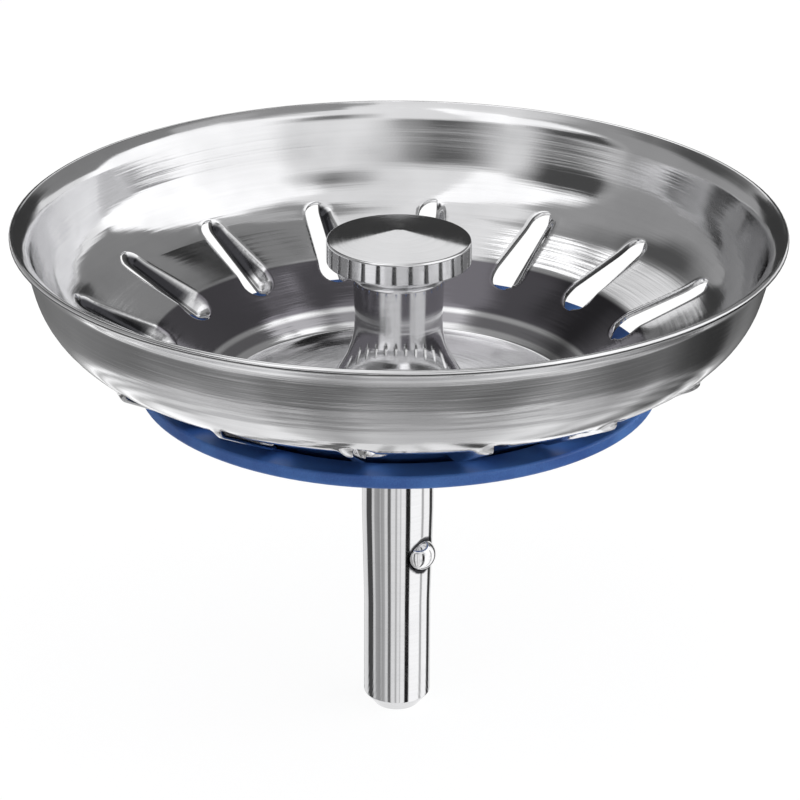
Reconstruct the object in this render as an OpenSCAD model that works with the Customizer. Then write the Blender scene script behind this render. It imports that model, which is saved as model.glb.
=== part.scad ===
// Sink strainer basket: a pressed steel bowl with louvred slots, a turned lifting knob,
// a rubber seal with its clamping plate, and a guide pin with a spring-loaded ball.
// Z runs up the axis. The origin is where the guide pin's straight wall ends at the bottom.

/* [Basket] */
// Diameter over the rim
rim_d = 80; // [79:0.5:84]
// Depth from the top of the rim to the underside of the floor
basket_depth = 19.85; // [19:0.1:22]
// Thickness of the steel sheet
sheet_t = 0.7; // [0.5:0.05:0.8]
// Diameter of the flat floor
floor_d = 37.7; // [36.5:0.1:38.5]
// Width of the step round the floor
step_w = 2.6; // [2.2:0.05:3]
// Rise of that step
step_rise = 2.22; // [1.8:0.1:2.6]
// Width of the steep ring between the step and the knee
ring_w = 4.65; // [4.3:0.05:5]
// Height of the knee above the floor
knee_rise = 5.66; // [5:0.1:6.2]
// Slope of the apron above the knee, degrees
apron_angle = 21.2; // [19:0.2:23]
// Slope of the wall, degrees
wall_angle = 75.5; // [72:0.5:80]
// Width of the outward lip
lip_w = 1.6; // [1.3:0.1:2]
// Height of the outward lip
lip_h = 1.35; // [1.2:0.05:1.6]
// Bend radius between the apron and the wall
wall_bend = 9.15; // [7.5:0.25:10]
// Bend radius under the lip
lip_bend = 2.2; // [1.6:0.1:2.4]
// Bend radius at the knee and at the step's edge
knee_bend = 1.5; // [1:0.1:2]
// Bend radius round the flat floor
floor_bend = 1; // [0.8:0.1:1.4]

/* [Louvred slots] */
// Number of slots
slot_count = 16; // [10:1:18]
// How far the slots' lower ends lie outside the step's edge
slot_low_out = 1.95; // [1.5:0.05:2.5]
// How far the slots' upper ends lie inside the rim
slot_top_in = 5.8; // [5.5:0.1:6.5]
// Width of a slot at its lower end
slot_low_w = 3.6; // [3:0.1:3.9]
// Width of a slot at its upper end
slot_top_w = 2.7; // [2.2:0.1:3]
// Depth of the louvre's trough below the slot's ends
louvre_dip = 0.9; // [0.8:0.05:1]
// How far the trough narrows on each side down to its bottom
louvre_narrow = 0.8; // [0.6:0.05:0.9]
// Thickness of the drawn louvre
louvre_t = 0.5; // [0.4:0.05:0.6]
// How far the louvre's free edge reaches past the middle of the slot
louvre_lap = 0.2; // [0:0.05:0.5]

/* [Knob] */
// Diameter of the knob's head
knob_d = 15.06; // [13:0.1:18]
// Height of the knob above the floor
knob_h = 18.4; // [17:0.1:20]
// Height of the shallow cone on top
crown_h = 1.1; // [0.8:0.1:1.6]
// Height of the band round the head
band_h = 2.7; // [2.4:0.1:3]
// Chamfer at the top of the band
band_chamfer = 0.25; // [0.1:0.05:0.4]
// Height of the head's sloping underside
head_slope_h = 2.4; // [2:0.1:3]
// Diameter of the neck under the head
neck_d = 9.54; // [8.5:0.1:11]
// Diameter of the waist
waist_d = 8.94; // [8:0.1:10]
// Height of the waist above the floor
waist_h = 8.8; // [8:0.1:9.5]
// Diameter of the knob's foot
foot_d = 14.4; // [13:0.1:16]
// Height of the foot's upright edge
foot_h = 1.4; // [1:0.1:2]

/* [Seal and plate] */
// Outer diameter of the rubber seal
seal_d = 54.4; // [54:0.2:56]
// Height of the seal's outer wall
seal_wall_h = 1.4; // [1.2:0.1:1.5]
// Height of the wall's foot above the seal's underside
seal_lift = 2.8; // [2.7:0.05:3]
// Thickness of the seal under the floor
seal_t = 0.8; // [0.7:0.05:1]
// Chamfer on the seal's edges
seal_chamfer = 0.2; // [0.1:0.05:0.3]
// How far inside the floor's edge the seal's underside starts to rise
seal_inset = 0.5; // [0.3:0.05:0.6]
// Gap between the rubber and the steep ring of the bowl
seal_gap = 0.12; // [0.1:0.01:0.15]
// How far up the steep ring the rubber follows it
seal_follow = 1.1; // [0.9:0.05:1.2]
// Diameter of the clamping plate
plate_d = 36; // [30:0.5:36.5]
// Thickness of the clamping plate
plate_t = 0.6; // [0.5:0.05:1]

/* [Guide pin] */
// Diameter of the pin's straight lower wall
pin_d = 7.12; // [6.8:0.02:7.3]
// Length of that wall
pin_len = 11.4; // [10:0.1:11.8]
// Height of the bevelled tip below it
tip_h = 1.4; // [1:0.1:2]
// Diameter of the tip's flat end
tip_d = 4.8; // [4:0.1:5.5]
// Length of the tapered stretch
taper_len = 10.5; // [10:0.1:11]
// Diameter of the pin above the taper
pin_top_d = 7.6; // [7.4:0.02:8]
// Length of the pin above the taper
pin_top_len = 9.4; // [8.5:0.1:10]
// Diameter of the hub under the plate
hub_d = 16; // [13:0.2:18]
// Thickness of the hub
hub_t = 1.5; // [1.2:0.1:2]
// Radius of the fillet under the hub
hub_fillet = 1.2; // [0.8:0.1:1.6]
// Diameter of the threaded stud
stud_d = 4; // [3:0.5:5]
// How far the stud reaches into the knob
stud_reach = 8; // [6:0.5:10]
// Gap round the stud in the knob, the floor, the seal and the plate
stud_gap = 0.05; // [0.03:0.01:0.1]

/* [Ball catch] */
// Diameter of the ball
ball_d = 3.5; // [3.3:0.02:3.6]
// Height of the ball's axis above the origin
ball_z = 17.15; // [16:0.05:18]
// Gap round the ball in its bore
ball_gap = 0.08; // [0.05:0.01:0.1]
// Depth of the closed bore past the pin's axis
bore_past = 2.2; // [2:0.1:2.4]
// How much narrower than the ball the mouth of the bore is, across
mouth_less = 0.04; // [0.02:0.01:0.08]
// Width of the narrow mouth
mouth_w = 0.12; // [0.08:0.02:0.16]
// Depth of the countersink outside the mouth
sink_w = 0.1; // [0.05:0.01:0.15]
// Diameter of the countersink where it starts on the pin
sink_d = 4.5; // [4.2:0.05:4.8]
// Gap between the resting ball and the mouth
ball_rest_gap = 0.03; // [0.02:0.01:0.05]
// Wire thickness of the spring
wire_d = 0.35; // [0.25:0.05:0.4]
// Turns of the spring
spring_turns = 4; // [3:1:5]
// Gap between the spring and the walls of the bore
spring_gap = 0.2; // [0.15:0.05:0.3]

/* [Hidden] */

$fn = 96;

// Small distance by which a cutting shape runs past what it cuts
past = 0.5;

// How far a slot's cut reaches above the line between the slot's ends, and its punched side below it
trough_above = 1.5;
punch_depth = 2.2;

// How much wider than the drawn side of a slot its punched side is
punch_margin = 0.05;

// Heights up the stack, from the pin to the rim
hub_z = pin_len + taper_len + pin_top_len;
plate_z = hub_z + hub_t;
seal_z = plate_z + plate_t;
floor_under_z = seal_z + seal_t;
rim_z = floor_under_z + basket_depth;
floor_mid_z = floor_under_z + sheet_t / 2;
floor_top_z = floor_under_z + sheet_t;
stud_hole_r = stud_d / 2 + stud_gap;

// Corners of the sheet's middle line, from the floor's hole to the rim's edge
edge_end = [(rim_d - sheet_t) / 2, rim_z - sheet_t / 2];
lip_corner = [rim_d / 2 - lip_w, rim_z - lip_h];
floor_corner = [floor_d / 2, floor_mid_z];
step_corner = floor_corner + [step_w, step_rise];
knee_corner = [step_corner.x + ring_w, floor_mid_z + knee_rise];
wall_corner = crossing(knee_corner, apron_angle, lip_corner, wall_angle);
sheet_line = [
    [stud_hole_r, floor_mid_z], floor_corner, step_corner, knee_corner,
    wall_corner, lip_corner, edge_end
];
sheet_bends = [0, floor_bend, knee_bend, knee_bend, wall_bend, lip_bend, 0];

// Widest angle between two neighbouring points of the sheet's bends and of a slot's ends, degrees
bend_step = 12;
end_step = 30;

// A slot's ends on the sheet's inner face
slot_step = 360 / slot_count;
ring_angle = heading(step_corner, knee_corner);
slot_low = [
    step_corner.x + slot_low_out,
    step_corner.y + slot_low_out * tan(ring_angle) + sheet_t / 2 / cos(ring_angle)
];
wall_centre = bend_centre(sheet_line, sheet_bends, 4);
slot_top_x = rim_d / 2 - slot_top_in;
slot_top = [
    slot_top_x,
    wall_centre.y - sqrt(pow(wall_bend - sheet_t / 2, 2) - pow(slot_top_x - wall_centre.x, 2))
];
slot_len = norm(slot_top - slot_low);

// Places on the pin round the ball
pin_r = pin_d / 2;
pin_top_r = pin_top_d / 2;
pin_r_at_ball = pin_r + (pin_top_r - pin_r) * (ball_z - pin_len) / taper_len;
ball_r = ball_d / 2;
bore_r = ball_r + ball_gap;
mouth_r = ball_r - mouth_less / 2;
mouth_x = pin_r_at_ball - sink_w - mouth_w;
ball_x = mouth_x - sqrt(pow(ball_r + ball_rest_gap, 2) - pow(mouth_r, 2));

// Unit vector at an angle in the section's plane
function direction(angle) = [cos(angle), sin(angle)];

// Angle of the way from one point of the section to another
function heading(from, to) = atan2(to.y - from.y, to.x - from.x);

// Point where two straight lines of the section meet
function crossing(p, p_angle, q, q_angle) =
    p + direction(p_angle) * ((q - p) * direction(q_angle - 90)) / (direction(p_angle) * direction(q_angle - 90));

// Change of heading at one corner of a line
function bend_turn(line, i) = heading(line[i], line[i + 1]) - heading(line[i - 1], line[i]);

// Centre of the bend at one corner, on the inner side of the turn
function bend_centre(line, bends, i) =
    line[i] - bends[i] * tan(abs(bend_turn(line, i)) / 2) * direction(heading(line[i - 1], line[i]))
    + sign(bend_turn(line, i)) * bends[i] * direction(heading(line[i - 1], line[i]) + 90);

// Points along an arc, both ends included
function arc_points(centre, radius, start, turn, widest) =
    let (steps = ceil(abs(turn) / widest))
    [for (k = [0 : steps]) centre + radius * direction(start + turn * k / steps)];

// Points of a line of corners with round bends, moved sideways to the left
function bent_line(line, bends, shift) = [
    line[0] + shift * direction(heading(line[0], line[1]) + 90),
    for (i = [1 : len(line) - 2])
        let (turn = bend_turn(line, i), side = sign(turn))
        each arc_points(
            bend_centre(line, bends, i),
            bends[i] - side * shift,
            heading(line[i - 1], line[i]) - side * 90,
            turn,
            bend_step
        )
];

// Section of the sheet: its underside, the round edge of the rim and its inner face
module sheet_section() {
    half = sheet_t / 2;
    inner = bent_line(sheet_line, sheet_bends, half);
    polygon(concat(
        bent_line(sheet_line, sheet_bends, -half),
        arc_points(edge_end, half, heading(lip_corner, edge_end) - 90, 180, end_step),
        [for (i = [len(inner) - 1 : -1 : 0]) inner[i]]
    ));
}

// Outline of a tapered slot with round ends along X, grown by a margin
module slot_outline(margin) {
    low_r = slot_low_w / 2;
    top_r = slot_top_w / 2;
    low = [low_r, 0];
    top = [slot_len - top_r, 0];
    lean = asin((low_r - top_r) / (top.x - low.x));
    polygon(concat(
        arc_points(low, low_r + margin, 90 - lean, 180 + 2 * lean, end_step),
        arc_points(top, top_r + margin, lean - 90, 180 - 2 * lean, end_step)
    ));
}

// Sets its children on the line between a slot's ends, with X along the slot
module on_slot_line() {
    translate([slot_low.x, 0, slot_low.y])
        rotate([0, -heading(slot_low, slot_top), 0])
            children();
}

// Trough along a slot, from above the sheet down to its narrow bottom, grown by a margin
module trough(margin) {
    shoulder = sheet_t / 2;
    middle = slot_len / 2;
    long = slot_len + 2 * margin;
    wide = slot_top_w + 2 * margin;
    bottom_scale = [(long - 2 * louvre_narrow) / long, (wide - 2 * louvre_narrow) / wide];
    on_slot_line() {
        translate([0, 0, -shoulder])
            linear_extrude(2 * shoulder + trough_above)
                slot_outline(margin);
        translate([middle, 0, -shoulder])
            rotate([180, 0, 0])
                linear_extrude(louvre_dip + margin - shoulder, slices = 1, segments = 0, scale = bottom_scale)
                    translate([-middle, 0])
                        slot_outline(margin);
    }
}

// Punched side of a slot, right through the sheet
module opening() {
    on_slot_line()
        translate([0, 0, -punch_depth])
            linear_extrude(punch_depth + trough_above)
                intersection() {
                    slot_outline(punch_margin);
                    translate([-past, louvre_lap - punch_margin])
                        square([slot_len + 2 * past, slot_low_w]);
                }
}

// The space above the sheet's middle line
module space_above_sheet() {
    rotate_extrude()
        polygon(concat(bent_line(sheet_line, sheet_bends, 0), [edge_end, [0, edge_end.y], [0, floor_mid_z]]));
}

// One louvre before its inside is cut: the clockwise half of a trough under the sheet
module louvre() {
    reach = slot_len + sheet_t;
    difference() {
        intersection() {
            trough(louvre_t);
            translate([slot_low.x - reach, -reach, floor_under_z])
                cube([2 * reach, reach + louvre_lap, basket_depth]);
        }
        space_above_sheet();
    }
}

module strainer_basket() {
    color("silver")
        difference() {
            union() {
                rotate_extrude()
                    sheet_section();
                for (i = [0 : slot_count - 1])
                    rotate([0, 0, (i + 0.5) * slot_step])
                        louvre();
            }
            for (i = [0 : slot_count - 1])
                rotate([0, 0, (i + 0.5) * slot_step]) {
                    trough(0);
                    opening();
                }
        }
}

// Head, waisted stem and foot of the knob, turned in one piece, with a blind hole for the stud
module knob() {
    head_r = knob_d / 2;
    foot_r = foot_d / 2;
    waist_r = waist_d / 2;
    flare_h = waist_h - foot_h;
    flare_w = foot_r - waist_r;
    flare_r = (flare_h * flare_h + flare_w * flare_w) / (2 * flare_w);
    band_z = knob_h - crown_h;
    slope_z = band_z - band_h;
    neck_z = slope_z - head_slope_h;
    hole_h = stud_reach - sheet_t - plate_t - seal_t + 1;
    color("gainsboro")
        translate([0, 0, floor_top_z])
            difference() {
                rotate_extrude() {
                    polygon([
                        [0, waist_h],
                        [waist_r, waist_h],
                        [neck_d / 2, neck_z],
                        [head_r, slope_z],
                        [head_r, band_z - band_chamfer],
                        [head_r - band_chamfer, band_z],
                        [0, knob_h]
                    ]);
                    difference() {
                        translate([0, foot_h])
                            square([foot_r, flare_h]);
                        translate([waist_r + flare_r, waist_h])
                            circle(r = flare_r);
                    }
                    square([foot_r, foot_h]);
                }
                translate([0, 0, -past])
                    cylinder(r = stud_hole_r, h = hole_h + past);
            }
}

// Dished rubber ring: flat under the floor, rising to an upright outer wall
module seal_ring() {
    seal_r = seal_d / 2;
    wall_low_z = seal_z + seal_lift;
    wall_top_z = wall_low_z + seal_wall_h;
    clear = sheet_t / 2 + seal_gap;
    under_step = floor_corner + [sheet_t / 2, -sheet_t / 2];
    under_edge = step_corner + clear * direction(ring_angle - 90);
    inner_top = under_edge + seal_follow * [1, tan(ring_angle)] - [0, seal_gap];
    color("royalblue")
        rotate_extrude()
            polygon([
                [stud_hole_r, seal_z],
                [floor_d / 2 - seal_inset, seal_z],
                [seal_r - seal_chamfer, wall_low_z],
                [seal_r, wall_low_z + seal_chamfer],
                [seal_r, wall_top_z - seal_chamfer],
                [seal_r - seal_chamfer, wall_top_z],
                inner_top,
                under_edge,
                under_step,
                [stud_hole_r, floor_under_z]
            ]);
}

module seal_plate() {
    color("silver")
        translate([0, 0, plate_z])
            difference() {
                cylinder(d = plate_d, h = plate_t);
                translate([0, 0, -past])
                    cylinder(r = stud_hole_r, h = plate_t + 2 * past);
            }
}

// Turned pin with its hub, its stud and the cross bore for the ball
module guide_pin() {
    color("gainsboro")
        difference() {
            union() {
                rotate_extrude() {
                    polygon([
                        [0, -tip_h],
                        [tip_d / 2, -tip_h],
                        [pin_r, 0],
                        [0, 0]
                    ]);
                    square([pin_r, pin_len]);
                    polygon([
                        [0, pin_len],
                        [pin_r, pin_len],
                        [pin_top_r, pin_len + taper_len],
                        [0, pin_len + taper_len]
                    ]);
                    translate([0, pin_len + taper_len])
                        square([pin_top_r, pin_top_len]);
                    difference() {
                        translate([0, hub_z - hub_fillet])
                            square([pin_top_r + hub_fillet, hub_fillet]);
                        translate([pin_top_r + hub_fillet, hub_z - hub_fillet])
                            circle(r = hub_fillet);
                    }
                    translate([0, hub_z])
                        square([hub_d / 2, hub_t]);
                }
                translate([0, 0, hub_z])
                    cylinder(d = stud_d, h = hub_t + stud_reach);
            }
            translate([0, 0, ball_z])
                rotate([0, 90, 0]) {
                    translate([0, 0, -bore_past])
                        cylinder(r = bore_r, h = bore_past + mouth_x);
                    cylinder(r = mouth_r, h = mouth_x + mouth_w + past);
                    translate([0, 0, mouth_x + mouth_w])
                        cylinder(r1 = mouth_r, r2 = sink_d / 2, h = sink_w);
                    translate([0, 0, mouth_x + mouth_w + sink_w])
                        cylinder(d = sink_d, h = past);
                }
        }
}

module catch_ball() {
    color("whitesmoke")
        translate([ball_x, 0, ball_z])
            sphere(r = ball_r);
}

// Fine coil spring between the closed end of the bore and the back of the ball
module catch_spring() {
    sides = 6;
    steps_per_turn = 14;
    wire_r = wire_d / 2;
    coil_r = bore_r - spring_gap - wire_r;
    seat_gap = 0.02;
    start_x = -bore_past + wire_r + seat_gap;
    end_x = ball_x - sqrt(pow(ball_r + wire_r + seat_gap, 2) - pow(coil_r, 2));
    steps = spring_turns * steps_per_turn;
    pitch_x = (end_x - start_x) / steps;
    points = [
        for (i = [0 : steps], k = [0 : sides - 1])
            let (
                around = 360 * i / steps_per_turn,
                across = coil_r + wire_r * cos(360 * k / sides)
            )
            [start_x + pitch_x * i + wire_r * sin(360 * k / sides), across * cos(around), across * sin(around)]
    ];
    sides_faces = [
        for (i = [0 : steps - 1], k = [0 : sides - 1])
            let (a = i * sides + k, b = i * sides + (k + 1) % sides)
            [a, b, b + sides, a + sides]
    ];
    first_face = [for (k = [sides - 1 : -1 : 0]) k];
    last_face = [for (k = [0 : sides - 1]) steps * sides + k];
    color("gray")
        translate([0, 0, ball_z])
            polyhedron(points = points, faces = concat([first_face, last_face], sides_faces));
}

strainer_basket();
knob();
seal_ring();
seal_plate();
guide_pin();
catch_ball();
catch_spring();
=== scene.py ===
# Sink strainer basket: a pressed steel bowl with louvred slots, a turned knob, a blue rubber seal
# with its clamping plate, and a guide pin with a sprung ball.
# Sizes in the dictionaries are millimetres and degrees; a mesh gets metres when it is made.
import math

import bmesh
import bpy
from mathutils import Matrix, Vector


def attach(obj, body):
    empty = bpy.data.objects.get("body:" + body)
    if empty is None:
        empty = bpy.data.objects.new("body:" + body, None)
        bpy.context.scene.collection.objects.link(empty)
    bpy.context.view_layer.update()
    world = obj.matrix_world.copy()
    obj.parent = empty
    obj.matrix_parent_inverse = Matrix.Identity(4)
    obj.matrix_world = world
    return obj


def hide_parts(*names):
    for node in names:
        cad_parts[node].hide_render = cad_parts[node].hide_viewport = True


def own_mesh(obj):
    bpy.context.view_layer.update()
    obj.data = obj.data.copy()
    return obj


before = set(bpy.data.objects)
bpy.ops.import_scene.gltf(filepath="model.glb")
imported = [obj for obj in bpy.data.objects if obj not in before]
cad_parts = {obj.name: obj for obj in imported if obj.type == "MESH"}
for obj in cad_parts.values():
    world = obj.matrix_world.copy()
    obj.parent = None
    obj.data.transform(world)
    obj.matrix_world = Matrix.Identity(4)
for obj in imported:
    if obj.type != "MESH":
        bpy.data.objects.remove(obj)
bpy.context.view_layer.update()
print("frame loaded")

millimetre = 0.001
upAxis = Vector((0, 0, 1))
nearZero = 1e-6
weldDistance = 2e-6  # in metres, as Blender takes it
boreHeight = 17.15  # of the ball, its bore and its spring


def heading(angle):
    return Vector((math.cos(angle), math.sin(angle)))


def leftOf(angle):
    return heading(angle + math.pi / 2)


def wayBetween(start, end):
    return math.atan2(end[1] - start[1], end[0] - start[0])


def ease(x):
    x = min(max(x, 0.0), 1.0)
    return x * x * (3 - 2 * x)


def between(a, b, part):
    return a + (b - a) * part


# Direction from the object to a place seen at an azimuth and an elevation
def wayTo(azimuth, elevation):
    a, e = math.radians(azimuth), math.radians(elevation)
    return Vector((math.sin(a) * math.cos(e), -math.cos(a) * math.cos(e), math.sin(e)))


def newMesh(name, points, faces):
    mesh = bpy.data.meshes.new(name)
    mesh.from_pydata(points, [], faces)
    return mesh


def newObject(name, data):
    made = bpy.data.objects.new(name, data)
    bpy.context.scene.collection.objects.link(made)
    return made


# Rows of a turned shape: point and outward normal in the section. Each corner is
# (radius, height, bend), and the outside lies to the right of the way from corner to corner.
# The rows of a bend are at most "widest" degrees apart.
def roundedRows(corners, closed=False, widest=10):
    rows = []
    count = len(corners)
    for i, (r, z, bend) in enumerate(corners):
        here = Vector((r, z))
        before = corners[i - 1] if (i or closed) else None
        after = corners[(i + 1) % count] if (i < count - 1 or closed) else None
        wayIn = wayBetween(before, here) if before else None
        wayOut = wayBetween(here, after) if after else None
        if before is None or after is None:
            rows.append((here, -leftOf(wayOut if before is None else wayIn)))
            continue
        turn = (wayOut - wayIn + math.pi) % (2 * math.pi) - math.pi
        side = 1 if turn > 0 else -1
        start = here - heading(wayIn) * bend * math.tan(abs(turn) / 2)
        centre = start + leftOf(wayIn) * bend * side
        steps = max(1, math.ceil(abs(math.degrees(turn)) / widest))
        for k in range(steps + 1):
            outward = -leftOf(wayIn + turn * k / steps)
            rows.append((centre + outward * bend * side, outward))
    return rows


# Turns rows round the Z axis; a row on the axis becomes one point
def turnedMesh(name, rows, closed=False, segments=128):
    points, normals, faces, rings = [], [], [], []
    for point, outward in rows:
        if point.x < nearZero:
            rings.append([len(points)])
            points.append((0, 0, point.y * millimetre))
            normals.append((0, 0, 1 if outward.y > 0 else -1))
            continue
        rings.append(list(range(len(points), len(points) + segments)))
        for k in range(segments):
            c, s = math.cos(2 * math.pi * k / segments), math.sin(2 * math.pi * k / segments)
            x, y, z = point.x * c, point.x * s, point.y
            points.append((x * millimetre, y * millimetre, z * millimetre))
            normals.append((outward.x * c, outward.x * s, outward.y))
    pairs = list(zip(rings, rings[1:]))
    if closed:
        pairs.append((rings[-1], rings[0]))
    for low, high in pairs:
        for k in range(segments):
            j = (k + 1) % segments
            if len(low) == 1:
                faces.append((low[0], high[j], high[k]))
            elif len(high) == 1:
                faces.append((low[k], low[j], high[0]))
            else:
                faces.append((low[k], low[j], high[j], high[k]))
    mesh = newMesh(name, points, faces)
    mesh.shade_smooth()
    mesh.normals_split_custom_set_from_vertices(normals)
    return mesh


# Puts a finished mesh in the scene as a piece that rides on a body and stands for CAD nodes
def addPiece(name, mesh, material, body, slotName, *nodes):
    piece = newObject(name, mesh)
    mesh.materials.clear()
    mesh.materials.append(material)
    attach(piece, body)
    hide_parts(*nodes)
    return piece


# The plain mesh that an object's modifiers give; the object itself goes
def bakedMesh(source, name):
    seen = source.evaluated_get(bpy.context.evaluated_depsgraph_get())
    mesh = bpy.data.meshes.new_from_object(seen)
    mesh.name = name
    bpy.data.objects.remove(source)
    return mesh


# Sets a modifier's inputs by their sockets' identifiers
def setInputs(modifier, values):
    for item in modifier.node_group.interface.items_tree:
        if item.item_type == "SOCKET" and item.in_out == "INPUT" and item.name in values:
            modifier[item.identifier] = values[item.name]


def newSocket(tree, name, kind, direction="INPUT"):
    return tree.interface.new_socket(name, in_out=direction, socket_type="NodeSocket" + kind)


def feed(tree, socket, value):
    if isinstance(value, bpy.types.NodeSocket):
        tree.links.new(value, socket)
    else:
        socket.default_value = value


def calc(tree, operation, *values):
    node = tree.nodes.new("ShaderNodeMath")
    node.operation = operation
    for socket, value in zip(node.inputs, values):
        feed(tree, socket, value)
    return node.outputs[0]


def vectorCalc(tree, operation, *vectors):
    node = tree.nodes.new("ShaderNodeVectorMath")
    node.operation = operation
    for socket, vector in zip(node.inputs, vectors):
        feed(tree, socket, vector)
    return node.outputs["Value" if operation == "DOT_PRODUCT" else "Vector"]


# Length of the flat way (a, b)
def span(tree, a, b):
    squares = calc(tree, "MULTIPLY", a, a), calc(tree, "MULTIPLY", b, b)
    return calc(tree, "SQRT", calc(tree, "ADD", *squares))


def split(tree, vector):
    node = tree.nodes.new("ShaderNodeSeparateXYZ")
    tree.links.new(vector, node.inputs[0])
    return node.outputs


def join(tree, *values):
    node = tree.nodes.new("ShaderNodeCombineXYZ")
    for socket, value in zip(node.inputs, values):
        feed(tree, socket, value)
    return node.outputs[0]


def objectPlace(tree):
    return tree.nodes.new("ShaderNodeTexCoord").outputs["Object"]


def remap(tree, value, low, high, newLow, newHigh):
    node = tree.nodes.new("ShaderNodeMapRange")
    node.interpolation_type = "SMOOTHSTEP"
    for socket, given in zip(node.inputs, (value, low, high, newLow, newHigh)):
        feed(tree, socket, given)
    return node.outputs[0]


def blend(tree, part, first, second):
    node = tree.nodes.new("ShaderNodeMix")
    node.data_type = "RGBA"
    feed(tree, node.inputs["Factor"], part)
    feed(tree, node.inputs["A"], first)
    feed(tree, node.inputs["B"], second)
    return node.outputs["Result"]


def bump(tree, height, depth, normal=None):
    node = tree.nodes.new("ShaderNodeBump")
    node.inputs["Strength"].default_value = 1
    node.inputs["Distance"].default_value = depth * millimetre
    tree.links.new(height, node.inputs["Height"])
    if normal:
        tree.links.new(normal, node.inputs["Normal"])
    return node.outputs[0]


def noise(tree, place, w, scale, detail):
    node = tree.nodes.new("ShaderNodeTexNoise")
    node.noise_dimensions = "4D"
    for name, value in (("Vector", place), ("W", w), ("Scale", scale), ("Detail", detail)):
        feed(tree, node.inputs[name], value)
    return node.outputs["Fac"]


# Noise with features of a size in millimetres
def cloud(tree, size, detail=2.0, seed=0.0):
    return noise(tree, objectPlace(tree), seed, 1 / (size * millimetre), detail)


# Noise drawn out round the Z axis, as a tool or a polishing wheel leaves it: the width of a line
# in millimetres, and how much it changes in a turn
def toolLines(tree, width, changes, detail=2.0, seed=0.0):
    x, y, z = split(tree, objectPlace(tree))
    radius = span(tree, x, y)
    safe = calc(tree, "MAXIMUM", radius, nearZero)
    scale = 1 / (width * millimetre)
    spread = join(
        tree,
        calc(tree, "MULTIPLY", radius, scale),
        calc(tree, "MULTIPLY_ADD", calc(tree, "DIVIDE", x, safe), changes, seed),
        calc(tree, "MULTIPLY", calc(tree, "DIVIDE", y, safe), changes),
    )
    return noise(tree, spread, calc(tree, "MULTIPLY", z, scale), 1.0, detail)


# The direction round the Z axis, which the turned marks follow
def roundTangent(tree):
    x, y, _ = split(tree, objectPlace(tree))
    return vectorCalc(tree, "NORMALIZE", join(tree, calc(tree, "MULTIPLY", y, -1.0), x))


def newMaterial(name):
    material = bpy.data.materials.new(name)
    material.use_nodes = True
    return material, material.node_tree, material.node_tree.nodes["Principled BSDF"]


# A piece's colour, and the roughness that goes with how worn it is
def setFinish(tree, shader, colour, worn, look):
    feed(tree, shader.inputs["Base Color"], colour)
    feed(tree, shader.inputs["Roughness"], remap(tree, worn, *look["wornSpan"], *look["roughness"]))
    shader.inputs["Metallic"].default_value = look["metallic"]


# Drawn and polished sheet: cloudy gloss, fine lines round the bowl, a slow waviness, fine grain.
# Spans and roughness are pairs, from polished to worn. A ring of painted dark reflection is (radius
# from, radius to, share). A side where it is left off is (x and y of its direction, and the cosines
# to it where the painted dark starts to go and where it is gone).
pressedLook = {
    "metallic": 1,
    "dull": (0.60, 0.60, 0.61, 1),
    "bright": (0.75, 0.75, 0.76, 1),
    "roughness": (0.07, 0.17),
    "wornSpan": (0.1, 0.95),
    "cloudSize": 11.0,
    "cloudSpan": (0.35, 0.68),
    "cloudShare": 0.6,
    "lineWidth": 0.45,
    "lineChanges": 2.2,
    "lineShare": 0.45,
    "lineDepth": 0.016,
    "waveSize": 9.0,
    "waveDepth": 0.26,
    "grainSize": 0.22,
    "grainDepth": 0.0016,
    # Painted dark reflection from here on: on the ring inside the bowl, and on the louvres
    "paintedDark": (0.155, 0.148, 0.165, 1),
    "paintedDarkRings": [(19.35, 20.35, 0.75), (20.8, 26.0, 1.0)],
    "paintedDarkEdge": 0.16,
    "paintedDarkTop": 41.2,
    "paintedDarkFacing": 0.3,
    "paintedDarkRingGaps": [(0.349, -0.937, 0.87, 0.94), (0.998, -0.063, 0.92, 0.965)],
    "paintedLouvreDark": (0.036, 0.036, 0.040, 1),
    "paintedLouvreDarkGap": (0.123, 0.992, 0.50, 0.66),
}


# Share of the painted dark reflection that is kept, by the direction from the axis
def paintedDarkKept(tree, side):
    wayX, wayY, start, gone = side
    flat = vectorCalc(tree, "MULTIPLY", objectPlace(tree), (1, 1, 0))
    outward = vectorCalc(tree, "NORMALIZE", flat)
    towards = vectorCalc(tree, "DOT_PRODUCT", outward, (wayX, wayY, 0))
    return remap(tree, towards, start, gone, 1.0, 0.0)


# Painted dark reflection on the upper side of the step and the sloping ring
def paintedRingReflection(tree):
    x, y, z = split(tree, objectPlace(tree))
    radius = span(tree, x, y)
    edge = pressedLook["paintedDarkEdge"] * millimetre
    ring = 0.0
    for start, end, share in pressedLook["paintedDarkRings"]:
        start, end = start * millimetre, end * millimetre
        inside = remap(tree, radius, start - edge, start + edge, 0.0, share)
        outside = remap(tree, radius, end - edge, end + edge, 1.0, 0.0)
        ring = calc(tree, "MULTIPLY_ADD", inside, outside, ring)
    facing = split(tree, tree.nodes.new("ShaderNodeNewGeometry").outputs["Normal"])
    upwards = calc(tree, "GREATER_THAN", facing[2], pressedLook["paintedDarkFacing"])
    ring = calc(tree, "MULTIPLY", ring, upwards)
    for side in pressedLook["paintedDarkRingGaps"]:
        ring = calc(tree, "MULTIPLY", ring, paintedDarkKept(tree, side))
    below = calc(tree, "LESS_THAN", z, pressedLook["paintedDarkTop"] * millimetre)
    return calc(tree, "MULTIPLY", ring, below)


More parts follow.
